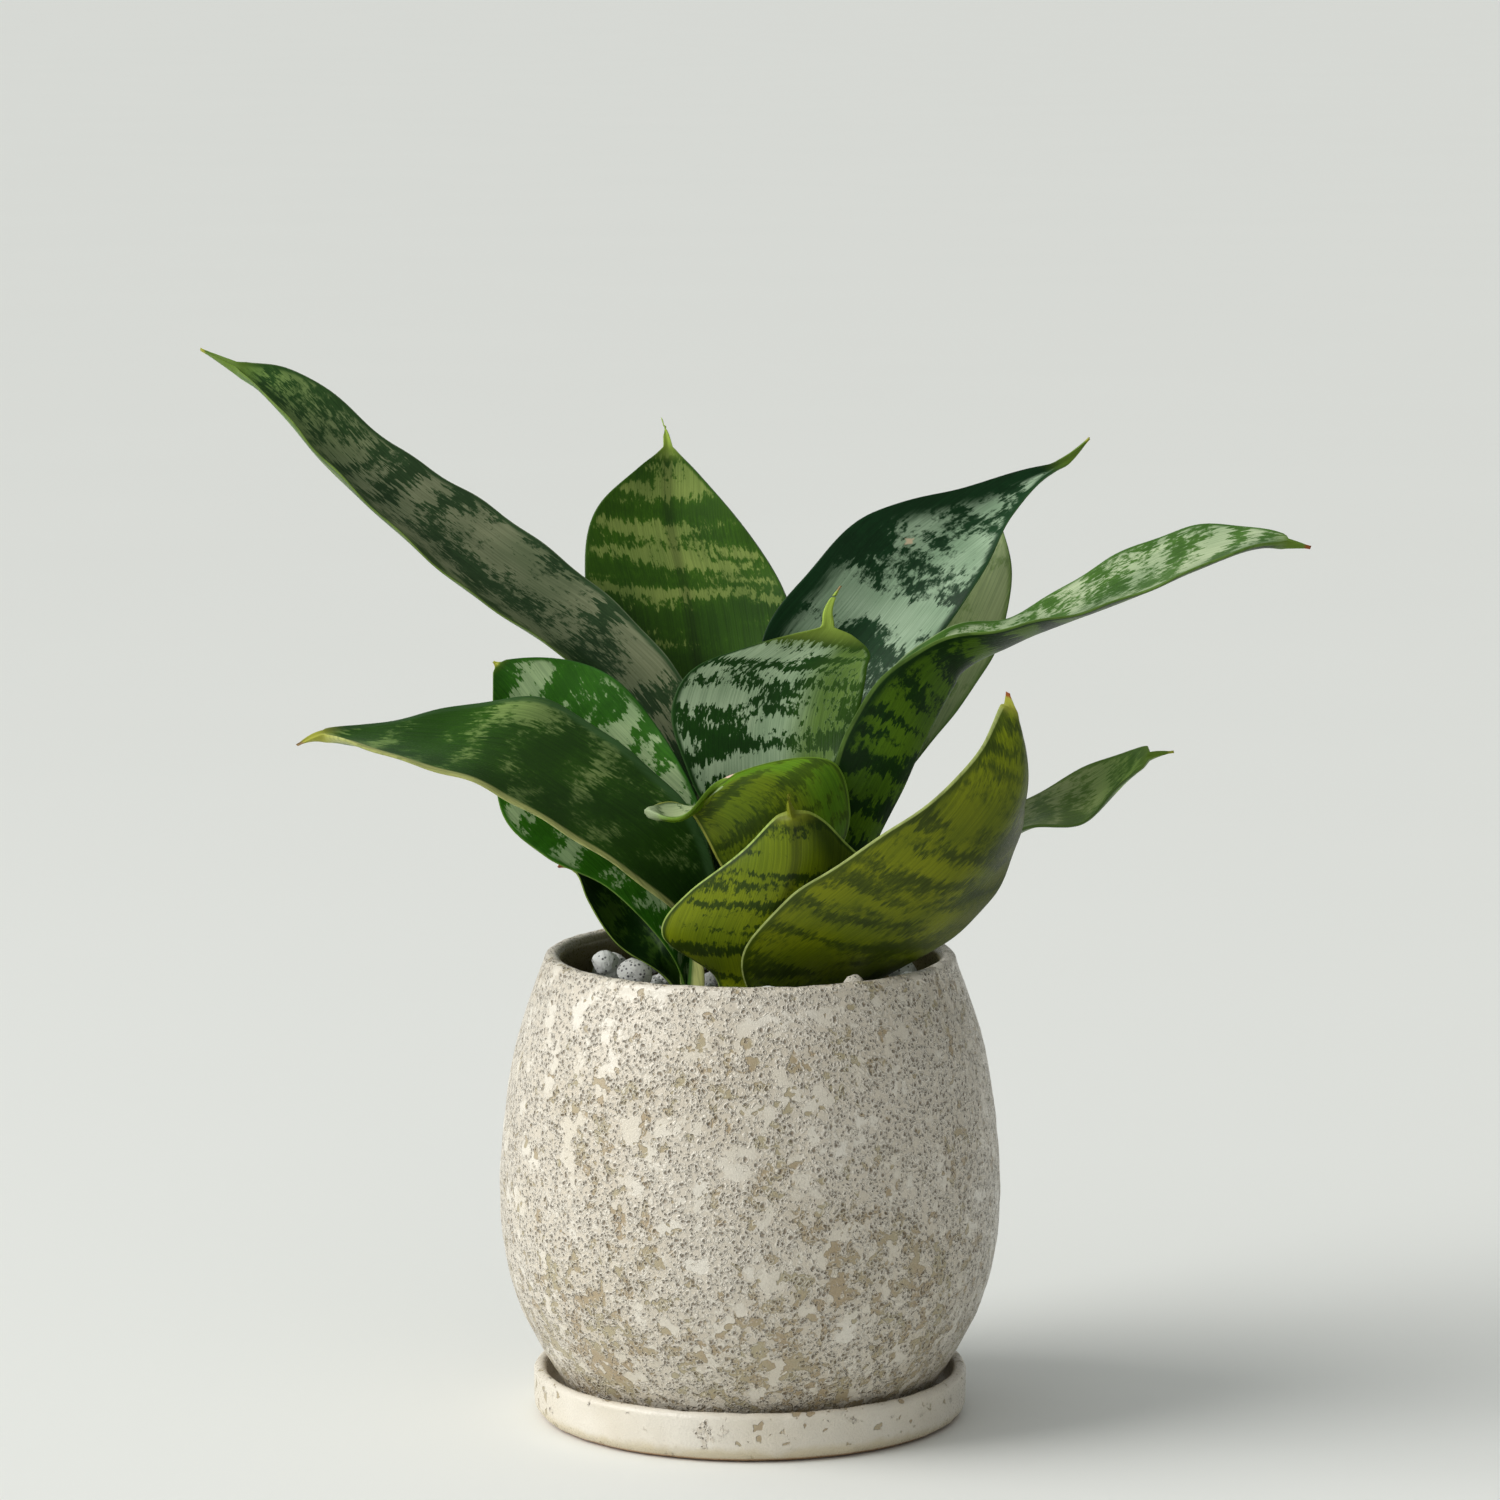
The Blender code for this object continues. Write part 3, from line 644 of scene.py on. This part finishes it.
    spike_length, _, spike_colour, point_colour = spike
    from_tip = n.plus(n.times(to_tip, length), n.times(comb, 1.5))
    is_spike = n.fall(from_tip, spike_length * 0.8, spike_length * 1.6 + 1.5)
    colour = n.mix(is_spike, colour, TIP_COLOURS[spike_colour])
    colour = n.mix(n.fall(from_tip, 1.6, 2.6), colour, TIP_COLOURS[point_colour])

    skin = n.noise(n.scaled(flat, SKIN_CELLS), detail=2.0)
    relief = n.plus(n.times(threads, 0.7), n.times(skin, 0.3))
    n.set(Base_Color=colour, Normal=n.bump(relief, LEAF_RELIEF, 0.55))
    n.set(Roughness=n.step(skin, 0.2, 0.8, *LEAF_ROUGHNESS), Specular_IOR_Level=LEAF_SPECULAR)
    return n.material


def spline(stations, values, wanted):
    """A smooth curve through the values at the stations, read at the wanted positions."""
    stations = np.asarray(stations, float)
    values = np.asarray(values, float)
    if values.ndim == 1:
        values = values[:, None]
    gaps = np.diff(stations)[:, None]
    slopes = np.diff(values, axis=0) / gaps
    tangents = np.empty_like(values)
    tangents[1:-1] = (slopes[:-1] * gaps[1:] + slopes[1:] * gaps[:-1]) / (gaps[1:] + gaps[:-1])
    tangents[0] = 1.5 * slopes[0] - 0.5 * tangents[1]
    tangents[-1] = 1.5 * slopes[-1] - 0.5 * tangents[-2]
    piece = np.clip(np.searchsorted(stations, wanted, side="right") - 1, 0, len(gaps) - 1)
    gap = gaps[piece]
    t = (np.asarray(wanted)[:, None] - stations[piece][:, None]) / gap
    start = (2 * t**3 - 3 * t**2 + 1) * values[piece] + (t**3 - 2 * t**2 + t) * gap * tangents[piece]
    end = (3 * t**2 - 2 * t**3) * values[piece + 1] + (t**3 - t**2) * gap * tangents[piece + 1]
    return start + end


def smooth(values, low, high):
    """Rises smoothly from 0 to 1 as the values go from low to high."""
    t = np.clip((values - low) / (high - low), 0.0, 1.0)
    return t * t * (3 - 2 * t)


def lengths(points):
    """The distance along a line of points, from its first point."""
    return np.concatenate([[0.0], np.cumsum(np.linalg.norm(np.diff(points, axis=0), axis=1))])


def unit(vectors):
    return vectors / np.linalg.norm(vectors, axis=1)[:, None]


def leaf_shell(rows, spike, phase):
    """The skin of a leaf, as (points in metres, metric places, form places, length).

    The points are a closed loop for each row along the leaf. A metric place is the distance across, along
    and from the edge. A form place is across from -1 to 1, to the tip from 1 to 0, and 1 on the upper face.
    """
    left = np.array([row[0] for row in rows], float)
    right = np.array([row[1] for row in rows], float)
    stations = lengths((left + right) / 2)
    stations /= stations[-1]
    along = 1.0 - (1.0 - np.linspace(0.0, 1.0, LEAF_ROWS)) ** LEAF_CROWDING
    left = spline(stations, left, along)
    right = spline(stations, right, along)
    trough = np.interp(along, stations, [row[2] for row in rows])
    trough = np.pad(trough, TROUGH_SMOOTHING, mode="edge")
    window = 2 * TROUGH_SMOOTHING + 1
    trough = np.convolve(trough, np.ones(window) / window, mode="valid")
    middle = (left + right) / 2
    across = (right - left) / 2
    distance = lengths(middle)
    to_tip = distance[-1] - distance

    spike_length, spike_half_width = spike[:2]
    spikes_to_tip = to_tip / spike_length
    spike_width = spike_half_width * np.minimum(spikes_to_tip, 1.0) ** 0.75
    half_width = np.linalg.norm(across, axis=1) * smooth(spikes_to_tip, 0.82, 1.16)
    half_width = np.maximum(np.maximum(half_width, spike_width), LEAF_TIP_HALF_WIDTH)
    across[-1] = across[-2]
    across = unit(across)
    upper = unit(np.cross(across, np.gradient(middle, along, axis=0)))

    angle = np.linspace(0.0, 2 * math.pi, LEAF_ROUND, endpoint=False)
    side = np.cos(angle)
    above = np.sin(angle)
    blade = smooth(spikes_to_tip, 0.9, 1.8)[:, None]
    thickness = LEAF_EDGE_THICKNESS + (LEAF_MIDDLE_THICKNESS - LEAF_EDGE_THICKNESS) * (1 - side**2) ** 0.6
    flat_skin = np.sign(above) * np.minimum(np.abs(above) * 5.0, 1.0) * thickness / 2
    round_skin = above[None, :] * np.minimum(half_width, SPIKE_HALF_THICKNESS)[:, None]
    skin = flat_skin[None, :] * blade + round_skin * (1.0 - blade)
    sink = trough[:, None] * (np.abs(side) ** TROUGH_POWER - 1.0)[None, :]
    wave = WAVE_HEIGHT * np.sin(distance / WAVE_STRETCH + phase)[:, None] * (np.abs(side) ** 4)[None, :]
    wave *= np.clip(half_width / 12.0, 0.0, 1.0)[:, None] * np.clip(distance / 40.0, 0.0, 1.0)[:, None]
    points = (
        middle[:, None, :]
        + across[:, None, :] * (half_width[:, None] * side[None, :])[..., None]
        + upper[:, None, :] * (sink + skin + wave)[..., None]
    )

    width = np.hypot(half_width, trough * 0.8)[:, None]
    metric = (width * side[None, :], distance[:, None], width * (1.0 - np.abs(side))[None, :])
    form = (side[None, :], (to_tip / distance[-1])[:, None], (above > 0)[None, :] * 1.0)
    return points * MM, stacked(*metric), stacked(*form), distance[-1]


def stacked(*values):
    """Three grids, or rows and columns that spread to grids, as one grid of vectors."""
    return np.stack(np.broadcast_arrays(*values), axis=-1)


def loops_mesh(name, points, ring=False):
    """A closed mesh from loops of points, whose first and last loops are filled or, in a ring, joined."""
    rows, around = points.shape[:2]
    index = np.arange(rows * around).reshape(rows, around)
    caps = [index[0].tolist()[::-1], index[-1].tolist()]
    if ring:
        index = np.concatenate([index, index[:1]])
        caps = []
    beside = np.roll(index, -1, axis=1)
    quads = np.stack([index[:-1], beside[:-1], beside[1:], index[1:]], axis=-1).reshape(-1, 4)
    mesh = bpy.data.meshes.new(name)
    mesh.from_pydata(points.reshape(-1, 3).tolist(), [], quads.tolist() + caps)
    mesh.update()
    face_outward(mesh)
    return mesh


def face_outward(mesh):
    shape = bmesh.new()
    shape.from_mesh(mesh)
    bmesh.ops.recalc_face_normals(shape, faces=shape.faces)
    shape.to_mesh(mesh)
    shape.free()


def add_attribute(mesh, name, values):
    layer = mesh.attributes.new(name, "FLOAT_VECTOR", "POINT")
    layer.data.foreach_set("vector", np.ascontiguousarray(values, np.float32).ravel())


def add_piece(name, mesh, material, slot, *nodes):
    """A smooth piece that rides on the plant, and stands for CAD nodes if any are named."""
    mesh.materials.append(material)
    mesh.polygons.foreach_set("use_smooth", [True] * len(mesh.polygons))
    piece = bpy.data.objects.new(name, mesh)
    bpy.context.scene.collection.objects.link(piece)
    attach(piece, BODY)
    if nodes:
        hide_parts(*nodes)
    return piece


def build_leaves():
    """All the leaves. Returns their points, in metres."""
    found = []
    for number, (name, rows) in enumerate(LEAVES.items()):
        points, metric, form, length = leaf_shell(rows, SPIKES[name], number * 1.7)
        found.append(points.reshape(-1, 3))
        mesh = loops_mesh(name + "_blade", points)
        add_attribute(mesh, "leaf_metric", metric)
        add_attribute(mesh, "leaf_form", form)
        material = leaf_material(name, FINISHES[name], SPIKES[name], length, 13.7 * (number + 1))
        add_piece(name + "_blade", mesh, material, name, name)
    return np.concatenate(found)


def pot_radius(heights):
    stations, radii = zip(*POT_OUTSIDE)
    return spline(stations, radii, heights)[:, 0]


def pot_radius_node(n, z, points=12, tallest=110.0, widest=60.0):
    """The pot's outside radius at a height, as a node that holds a curve from 0 to 1 each way."""
    curve = n.tree.nodes.new("ShaderNodeFloatCurve")
    spots = curve.mapping.curves[0].points
    for index, height in enumerate(np.linspace(0.0, tallest, points)):
        spot = (height / tallest, float(pot_radius([max(height, POT_OUTSIDE[0][0])])[0]) / widest)
        if index < 2:
            spots[index].location = spot
        else:
            spots.new(*spot)
    curve.mapping.update()
    n.put(curve.inputs["Value"], n.math("DIVIDE", z, tallest))
    return n.times(curve.outputs[0], widest)


def glaze_material(name, pitted, patched, foot=None, with_inside=False):
    """A cream reactive glaze, cratered about every 1.3 mm where it is pitted, and khaki where it is thin.

    foot is the height of a rusty edge. with_inside gives the inside of the pot a plain dark glaze.
    """
    n = Nodes(name)
    place = n.place()
    x, y, z = n.split(place)
    sway = n.node("ShaderNodeTexNoise", Vector=place, Scale=0.45).outputs["Color"]
    warped = n.scaled(sway, (1.8, 1.8, 1.8), place)

    broad = n.noise(place, 0.045, 2.0)
    grain = n.noise(place, 1.9, 3.0, 0.6)
    is_pitted = n.step(n.noise(warped, 0.17, 3.0, 0.6), 0.56 - pitted, 0.62 - pitted)
    patches = n.plus(n.noise(warped, 0.33, 2.0, 0.5), n.stray(broad, 0.45))
    more_below = n.step(z, 0.0, 100.0, 0.06, -0.05)
    is_patch = n.step(n.plus(patches, more_below), 0.68 - patched, 0.72 - patched)

    def pits(scale, radius, left_out):
        """How deep the pits are at a place, and how high the rings round them."""
        chance = n.split(n.cells(warped, scale, "Color"))
        pit_radius = n.times(n.plus(chance[0], 0.7), radius * scale * 0.85)
        is_kept = n.times(n.step(chance[1], left_out, left_out + 0.05), is_pitted)
        outward = n.math("DIVIDE", n.cells(warped, scale), pit_radius)
        depth = n.fall(outward, 0.30, 1.0)
        ring = n.times(n.step(outward, 0.85, 1.2), n.fall(outward, 1.2, 1.9))
        return n.times(depth, is_kept), n.times(ring, is_kept)

    large_pits, large_rings = pits(*LARGE_PITS)
    small_pits, small_rings = pits(*SMALL_PITS)
    all_pits = n.math("MAXIMUM", large_pits, n.times(small_pits, 0.9))
    all_rings = n.math("MAXIMUM", large_rings, n.times(small_rings, 0.7))

    cream = n.mix(n.step(broad, 0.3, 0.7), *CREAMS)
    cream = n.mix(n.times(is_pitted, 0.60), cream, PITTED_CREAM)
    cream = n.mix(n.step(grain, 0.35, 0.7, 0.0, 0.25), cream, GRAINY_CREAM)
    khaki = n.mix(n.step(n.noise(place, 0.12, 2.0), 0.35, 0.65), *KHAKIS)
    colour = n.mix(n.times(is_patch, 0.85), cream, khaki)
    colour = n.mix(n.times(all_rings, 0.55), colour, PIT_RING)
    colour = n.mix(n.times(all_pits, 0.80), colour, PIT_CLAY)

    relief = n.minus(n.times(all_rings, 0.45), all_pits)
    relief = n.minus(relief, n.times(is_patch, 0.55))
    relief = n.plus(relief, n.times(grain, 0.30))
    rough = n.plus(n.times(all_pits, 0.3), n.step(grain, 0.3, 0.7, 0.24, 0.36))
    if with_inside:
        radius = n.math("SQRT", n.plus(n.times(x, x), n.times(y, y)))
        depth = n.plus(n.minus(radius, pot_radius_node(n, z)), n.stray(grain, 1.2))
        is_inside = n.times(n.fall(depth, -3.0, -2.0), n.step(z, POT_FLOOR - 1, POT_FLOOR))
        colour = n.mix(is_inside, colour, n.mix(broad, POT_INSIDE, tuple(c * 1.5 for c in POT_INSIDE)))
        relief = n.times(relief, n.minus(1.0, is_inside))
    if foot:
        worn = n.plus(z, n.stray(n.noise(place, 0.15, 3.0), foot * 3.0))
        colour = n.mix(n.step(worn, foot, foot * 2.6, 0.6, 0.0), colour, FOOT_WORN)
        colour = n.mix(n.step(z, foot * 0.35, foot * 0.8, 0.85, 0.0), colour, FOOT_BARE)
    n.set(Base_Color=colour, Normal=n.bump(relief, GLAZE_RELIEF), Roughness=rough, Specular_IOR_Level=0.5)
    return n.material


def turned(name, profile, material, slot, node):
    """A solid of revolution that stands for a CAD node.

    The profile is a list of (radius, height): a closed ring, or a line that starts and ends on the axis.
    """
    profile = resampled(np.array(profile, float))
    off_axis = profile[profile[:, 0] > 1e-6]
    angle = np.linspace(0.0, 2 * math.pi, TURN_STEPS, endpoint=False)
    radius, height = off_axis[:, 0][:, None], off_axis[:, 1][:, None]
    points = stacked(radius * np.cos(angle)[None, :], radius * np.sin(angle)[None, :], height)
    mesh = loops_mesh(name, points * MM, ring=len(off_axis) == len(profile))
    make_lumpy(mesh)
    return add_piece(name, mesh, material, slot, node)


def make_lumpy(mesh):
    """Gives a turned surface the slight unevenness of a thick glaze. The foot stays flat."""
    points = np.empty((len(mesh.vertices), 3), np.float32)
    normals = np.empty((len(mesh.vertices), 3), np.float32)
    mesh.vertices.foreach_get("co", points.ravel())
    mesh.vertex_normals.foreach_get("vector", normals.ravel())
    for index, (x, y, z) in enumerate(points / MM):
        if z > 0.5:
            lump = noise.fractal(Vector((x, y, z)) * LUMPS_PER_MM, 0.8, 2.2, 3)
            lump *= LUMP_HEIGHT * min(1.0, math.hypot(x, y) / 20)
            points[index] += normals[index] * lump * MM
    mesh.vertices.foreach_set("co", points.ravel())
    mesh.update()


def resampled(profile):
    """The profile with points put in so that none are much over PROFILE_STEP apart."""
    points = []
    for start, end in zip(profile[:-1], profile[1:]):
        pieces = max(1, math.ceil(np.linalg.norm(end - start) / PROFILE_STEP))
        points += [start + (end - start) * step / pieces for step in range(pieces)]
    return np.array(points + [profile[-1]])


def arc(centre, radius, start, end, steps):
    """Points on an arc, with its start and end in degrees."""
    angles = np.radians(np.linspace(start, end, steps))
    return [(centre[0] + radius * math.cos(a), centre[1] + radius * math.sin(a)) for a in angles]


def build_pot():
    lowest, (highest, rim_radius) = POT_OUTSIDE[0][0], POT_OUTSIDE[-1]
    body = np.linspace(highest, lowest, 90)
    outside = list(zip(pot_radius(body), body))
    lip = POT_WALL / 2
    rim = arc((rim_radius - lip - 0.05, POT_RIM - lip), lip, 188, 12, 17)
    foot = arc((POT_BASE_RADIUS + 0.3, POT_BASE + POT_FOOT_ROUND), POT_FOOT_ROUND, -20, -90, 5)
    foot += [(POT_FOOT_INSIDE + 1.0, POT_BASE), (POT_FOOT_INSIDE, POT_FOOT_RECESS)]
    foot += [(DRAIN_RADIUS, POT_FOOT_RECESS), (DRAIN_RADIUS, POT_FLOOR)]
    cavity = np.linspace(POT_FLOOR + 4.0, highest - 1.5, 60)
    inside = list(zip(pot_radius(cavity) - POT_WALL, cavity))
    inside.insert(0, (inside[0][0] - 4.5, POT_FLOOR))
    glaze = glaze_material("reactive_glaze", 0.17, 0.11, with_inside=True)
    return turned("pot_glazed", rim + outside + foot + inside, glaze, "pot_glaze", "pot")


def build_saucer():
    lip = SAUCER_WALL / 2
    corner = SAUCER_RADIUS - SAUCER_FOOT_RADIUS
    inside_wall = SAUCER_RADIUS - SAUCER_WALL
    profile = [(0.0, SAUCER_FLOOR), (10.0, SAUCER_FLOOR), (inside_wall - 3.0, SAUCER_FLOOR)]
    profile += arc((inside_wall - SAUCER_COVE, SAUCER_FLOOR + SAUCER_COVE), SAUCER_COVE, -75, 0, 7)
    profile += arc((SAUCER_RADIUS - lip, SAUCER_HEIGHT - lip), lip, 180, 0, 15)
    profile += arc((SAUCER_FOOT_RADIUS, corner), corner, 0, -90, 10)
    profile += [(20.0, 0.0), (0.0, 0.0)]
    glaze = glaze_material("saucer_glaze", -0.05, -0.03, foot=1.6)
    return turned("saucer_glazed", profile, glaze, "saucer_glaze", "saucer")


def soil_material():
    n = Nodes("potting_soil")
    place = n.place()
    crumbs = n.cells(place, 0.9, "Color")
    lumps = n.noise(place, 0.5, 4.0, 0.65)
    fibres = n.noise(n.scaled(place, (0.4, 2.6, 1.0)), 1.0, 3.0)
    colour = n.mix(lumps, *SOIL_COLOURS)
    colour = n.mix(n.step(crumbs, 0.86, 0.95), colour, SOIL_CRUMB)
    colour = n.mix(n.step(fibres, 0.68, 0.75), colour, SOIL_FIBRE)
    relief = n.plus(n.cells(place, 0.9), lumps)
    n.set(Base_Color=colour, Roughness=0.95, Normal=n.bump(relief, SOIL_RELIEF))
    return n.material


def build_soil():
    """A crumbly bed that fills the pot up to the pebbles."""
    low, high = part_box("soil")
    radii = np.concatenate([np.linspace(2.0, SOIL_RADIUS, 46), [SOIL_RADIUS]])
    angle = np.linspace(0.0, 2 * math.pi, 140, endpoint=False)
    points = np.zeros((len(radii), len(angle), 3))
    for row, radius in enumerate(radii):
        for column, turn in enumerate(angle):
            x, y = radius * math.cos(turn), radius * math.sin(turn)
            lump = noise.fractal(Vector((x * SOIL_LUMPS_PER_MM, y * SOIL_LUMPS_PER_MM, 4.0)), 0.9, 2.1, 4)
            points[row, column] = (x, y, high.z / MM + SOIL_RISE + lump)
    points[-1, :, 2] = low.z / MM
    points[-1, :, :2] *= SOIL_TAPER
    return add_piece("soil_bed", loops_mesh("soil_bed", points * MM), soil_material(), "soil", "soil")


def pumice_material(name, pale, seed):
    n = Nodes(name)
    place = n.scaled(n.place(), (1.0, 1.0, 1.0), (seed, seed, 0.0))
    pores = n.noise(place, 1.6, 4.0, 0.7)
    chance = n.split(n.cells(place, 1.0, "Color"))[0]
    is_speck = n.times(n.fall(n.cells(place, 1.0), 0.24, 0.34), n.step(chance, 0.40, 0.45))
    colour = n.mix(n.noise(place, 0.35, 3.0, 0.6), tuple(c * 0.92 for c in pale), pale)
    colour = n.mix(n.times(is_speck, 0.9), colour, PUMICE_SPECK)
    colour = n.mix(n.step(pores, 0.58, 0.70, 0.0, 0.25), colour, PUMICE_PORE)
    n.set(Base_Color=colour, Roughness=0.9, Normal=n.bump(pores, PUMICE_RELIEF, 0.9))
    return n.material


def stone_mesh(name, centre, half_sizes, chance, fineness=4):
    """A worn stone that fills the given half sizes, with a few flats knocked off it."""
    mesh = bpy.data.meshes.new(name)
    shape = bmesh.new()
    bmesh.ops.create_icosphere(shape, subdivisions=fineness, radius=1.0)
    shift = Vector([chance.uniform(0.0, 50.0) for _ in range(3)])
    facets = [Vector([chance.gauss(0.0, 1.0) for _ in range(3)]).normalized() for _ in range(STONE_FACETS)]
    depths = [chance.uniform(0.70, 0.95) for _ in facets]
    for vertex in shape.verts:
        spot = vertex.co.copy()
        reach = min([1.0] + [depth / max(spot.dot(facet), 0.05) for facet, depth in zip(facets, depths)])
        worn = spot * (0.25 + 0.75 * reach) * (0.99 + 0.06 * noise.noise(spot * 4.0 + shift))
        vertex.co = Vector(c + p * h for c, p, h in zip(centre, worn, half_sizes))
    shape.to_mesh(mesh)
    shape.free()
    return mesh


def build_pebbles(leaf_points, nodes):
    """A stone for each pebble of the CAD, then the grit between them."""
    chance = random.Random(SEED)
    stones = [pumice_material(name, pale, 20.0 * number) for number, (name, pale) in enumerate(PUMICE)]
    taken = []
    for node in sorted(name for name in nodes if name.startswith("pebble_")):
        low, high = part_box(node)
        centre, half = (low + high) / 2, (high - low) / 2
        taken.append((centre, max(half)))
        material = chance.choices(stones, PUMICE_ODDS)[0]
        mesh = stone_mesh(node + "_stone", centre, half, chance)
        add_piece(node + "_stone", mesh, material, "pumice", node)
    build_grit(chance, leaf_points, taken, stones[0])


def build_grit(chance, leaf_points, taken, material):
    """Small stones on the soil, as one piece. They keep clear of the leaves, and nearly of each other."""
    tree = KDTree(len(leaf_points))
    for index, point in enumerate(leaf_points):
        tree.insert(point, index)
    tree.balance()
    shape = bmesh.new()
    soil_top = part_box("soil")[1].z
    for _ in range(GRIT_TRIES):
        radius = math.sqrt(chance.uniform(0.0, 1.0)) * GRIT_SPREAD
        turn = chance.uniform(0.0, math.tau)
        size = chance.uniform(*GRIT_SIZES)
        height = soil_top + GRIT_RISE + size * 0.6
        centre = Vector((radius * math.cos(turn), radius * math.sin(turn), height))
        if tree.find(centre)[2] < size + GRIT_LEAF_GAP:
            continue
        if any((centre - other).length < size + reach * 0.93 for other, reach in taken):
            continue
        taken.append((centre, size))
        half = Vector((size, size * chance.uniform(0.75, 1.0), size * chance.uniform(0.65, 0.9)))
        shape.from_mesh(stone_mesh("grit_stone", centre, half, chance, 2))
    grit = bpy.data.meshes.new("pumice_grit")
    shape.to_mesh(grit)
    shape.free()
    add_piece("pumice_grit", grit, material, "pumice")


def crown_material():
    n = Nodes("crown_fibre")
    fibres = n.noise(n.scaled(n.place(), (2.0, 2.0, 0.3)), 1.0, 3.0)
    n.set(Base_Color=n.mix(fibres, *CROWN_COLOURS), Roughness=0.75, Normal=n.bump(fibres, CROWN_RELIEF, 0.8))
    return n.material


def floor_material():
    n = Nodes("floor_paint")
    n.set(Base_Color=n.mix(n.noise(n.place(), 0.004, 2.0), *FLOOR_COLOURS), Roughness=0.7)
    return n.material


def build_stage():
    mesh = bpy.data.meshes.new("floor")
    shape = bmesh.new()
    bmesh.ops.create_circle(shape, cap_ends=True, segments=96, radius=FLOOR_RADIUS)
    shape.to_mesh(mesh)
    shape.free()
    mesh.materials.append(floor_material())
    floor = bpy.data.objects.new("floor", mesh)
    bpy.context.scene.collection.objects.link(floor)


def aimed(name, data, direction, place=(0.0, 0.0, 0.0)):
    """A camera or a light that looks in a direction."""
    made = bpy.data.objects.new(name, data)
    made.location = place
    made.rotation_euler = direction.to_track_quat("-Z", "Y").to_euler()
    bpy.context.scene.collection.objects.link(made)
    return made


def add_camera():
    data = bpy.data.cameras.new("camera")
    data.lens = CAMERA_LENS
    data.sensor_width = CAMERA_SENSOR
    gaze = Vector(CAMERA_TARGET) - Vector(CAMERA_PLACE)
    bpy.context.scene.camera = aimed("camera", data, gaze, CAMERA_PLACE)


def add_lights():
    sun = bpy.data.lights.new("sky_window", "SUN")
    sun.energy = SUN_STRENGTH
    sun.angle = math.radians(SUN_SOFTNESS)
    sun.color = SUN_COLOUR
    aimed("sky_window", sun, -Vector(SUN_DIRECTION))

    window = bpy.data.lights.new("window", "AREA")
    window.shape = "RECTANGLE"
    window.size, window.size_y = WINDOW_SIZE
    window.energy = WINDOW_POWER
    aimed("window", window, Vector(WINDOW_TARGET) - Vector(WINDOW_PLACE), WINDOW_PLACE)


def light_room():
    """The light of the room all round, brighter towards its bright side."""
    world = bpy.data.worlds.new("studio")
    world.use_nodes = True
    nodes, links = world.node_tree.nodes, world.node_tree.links
    background = nodes["Background"]
    facing = nodes.new("ShaderNodeVectorMath")
    facing.operation = "DOT_PRODUCT"
    facing.inputs[1].default_value = ROOM_BRIGHT_SIDE
    links.new(nodes.new("ShaderNodeTexCoord").outputs["Generated"], facing.inputs[0])
    ramp = nodes.new("ShaderNodeMapRange")
    for socket, value in zip(ramp.inputs[1:5], (-1.0, 1.0, *ROOM_STRENGTHS)):
        socket.default_value = value
    links.new(facing.outputs["Value"], ramp.inputs[0])
    links.new(ramp.outputs[0], background.inputs["Strength"])
    background.inputs["Color"].default_value = ROOM_COLOUR
    bpy.context.scene.world = world
    bpy.context.scene.view_settings.view_transform = "Standard"


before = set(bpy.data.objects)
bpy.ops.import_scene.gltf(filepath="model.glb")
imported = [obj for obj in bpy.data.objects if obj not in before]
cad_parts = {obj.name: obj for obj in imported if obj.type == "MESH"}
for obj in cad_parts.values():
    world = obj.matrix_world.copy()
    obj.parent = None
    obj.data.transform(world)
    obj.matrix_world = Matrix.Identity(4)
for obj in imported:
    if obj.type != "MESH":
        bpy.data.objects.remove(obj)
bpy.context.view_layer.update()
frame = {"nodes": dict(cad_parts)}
add_camera()
add_lights()
light_room()
build_stage()
leaf_points = build_leaves()
build_pot()
build_saucer()
build_soil()
build_pebbles(leaf_points, frame["nodes"])
frame["nodes"]["crown"].material_slots[0].material = crown_material()
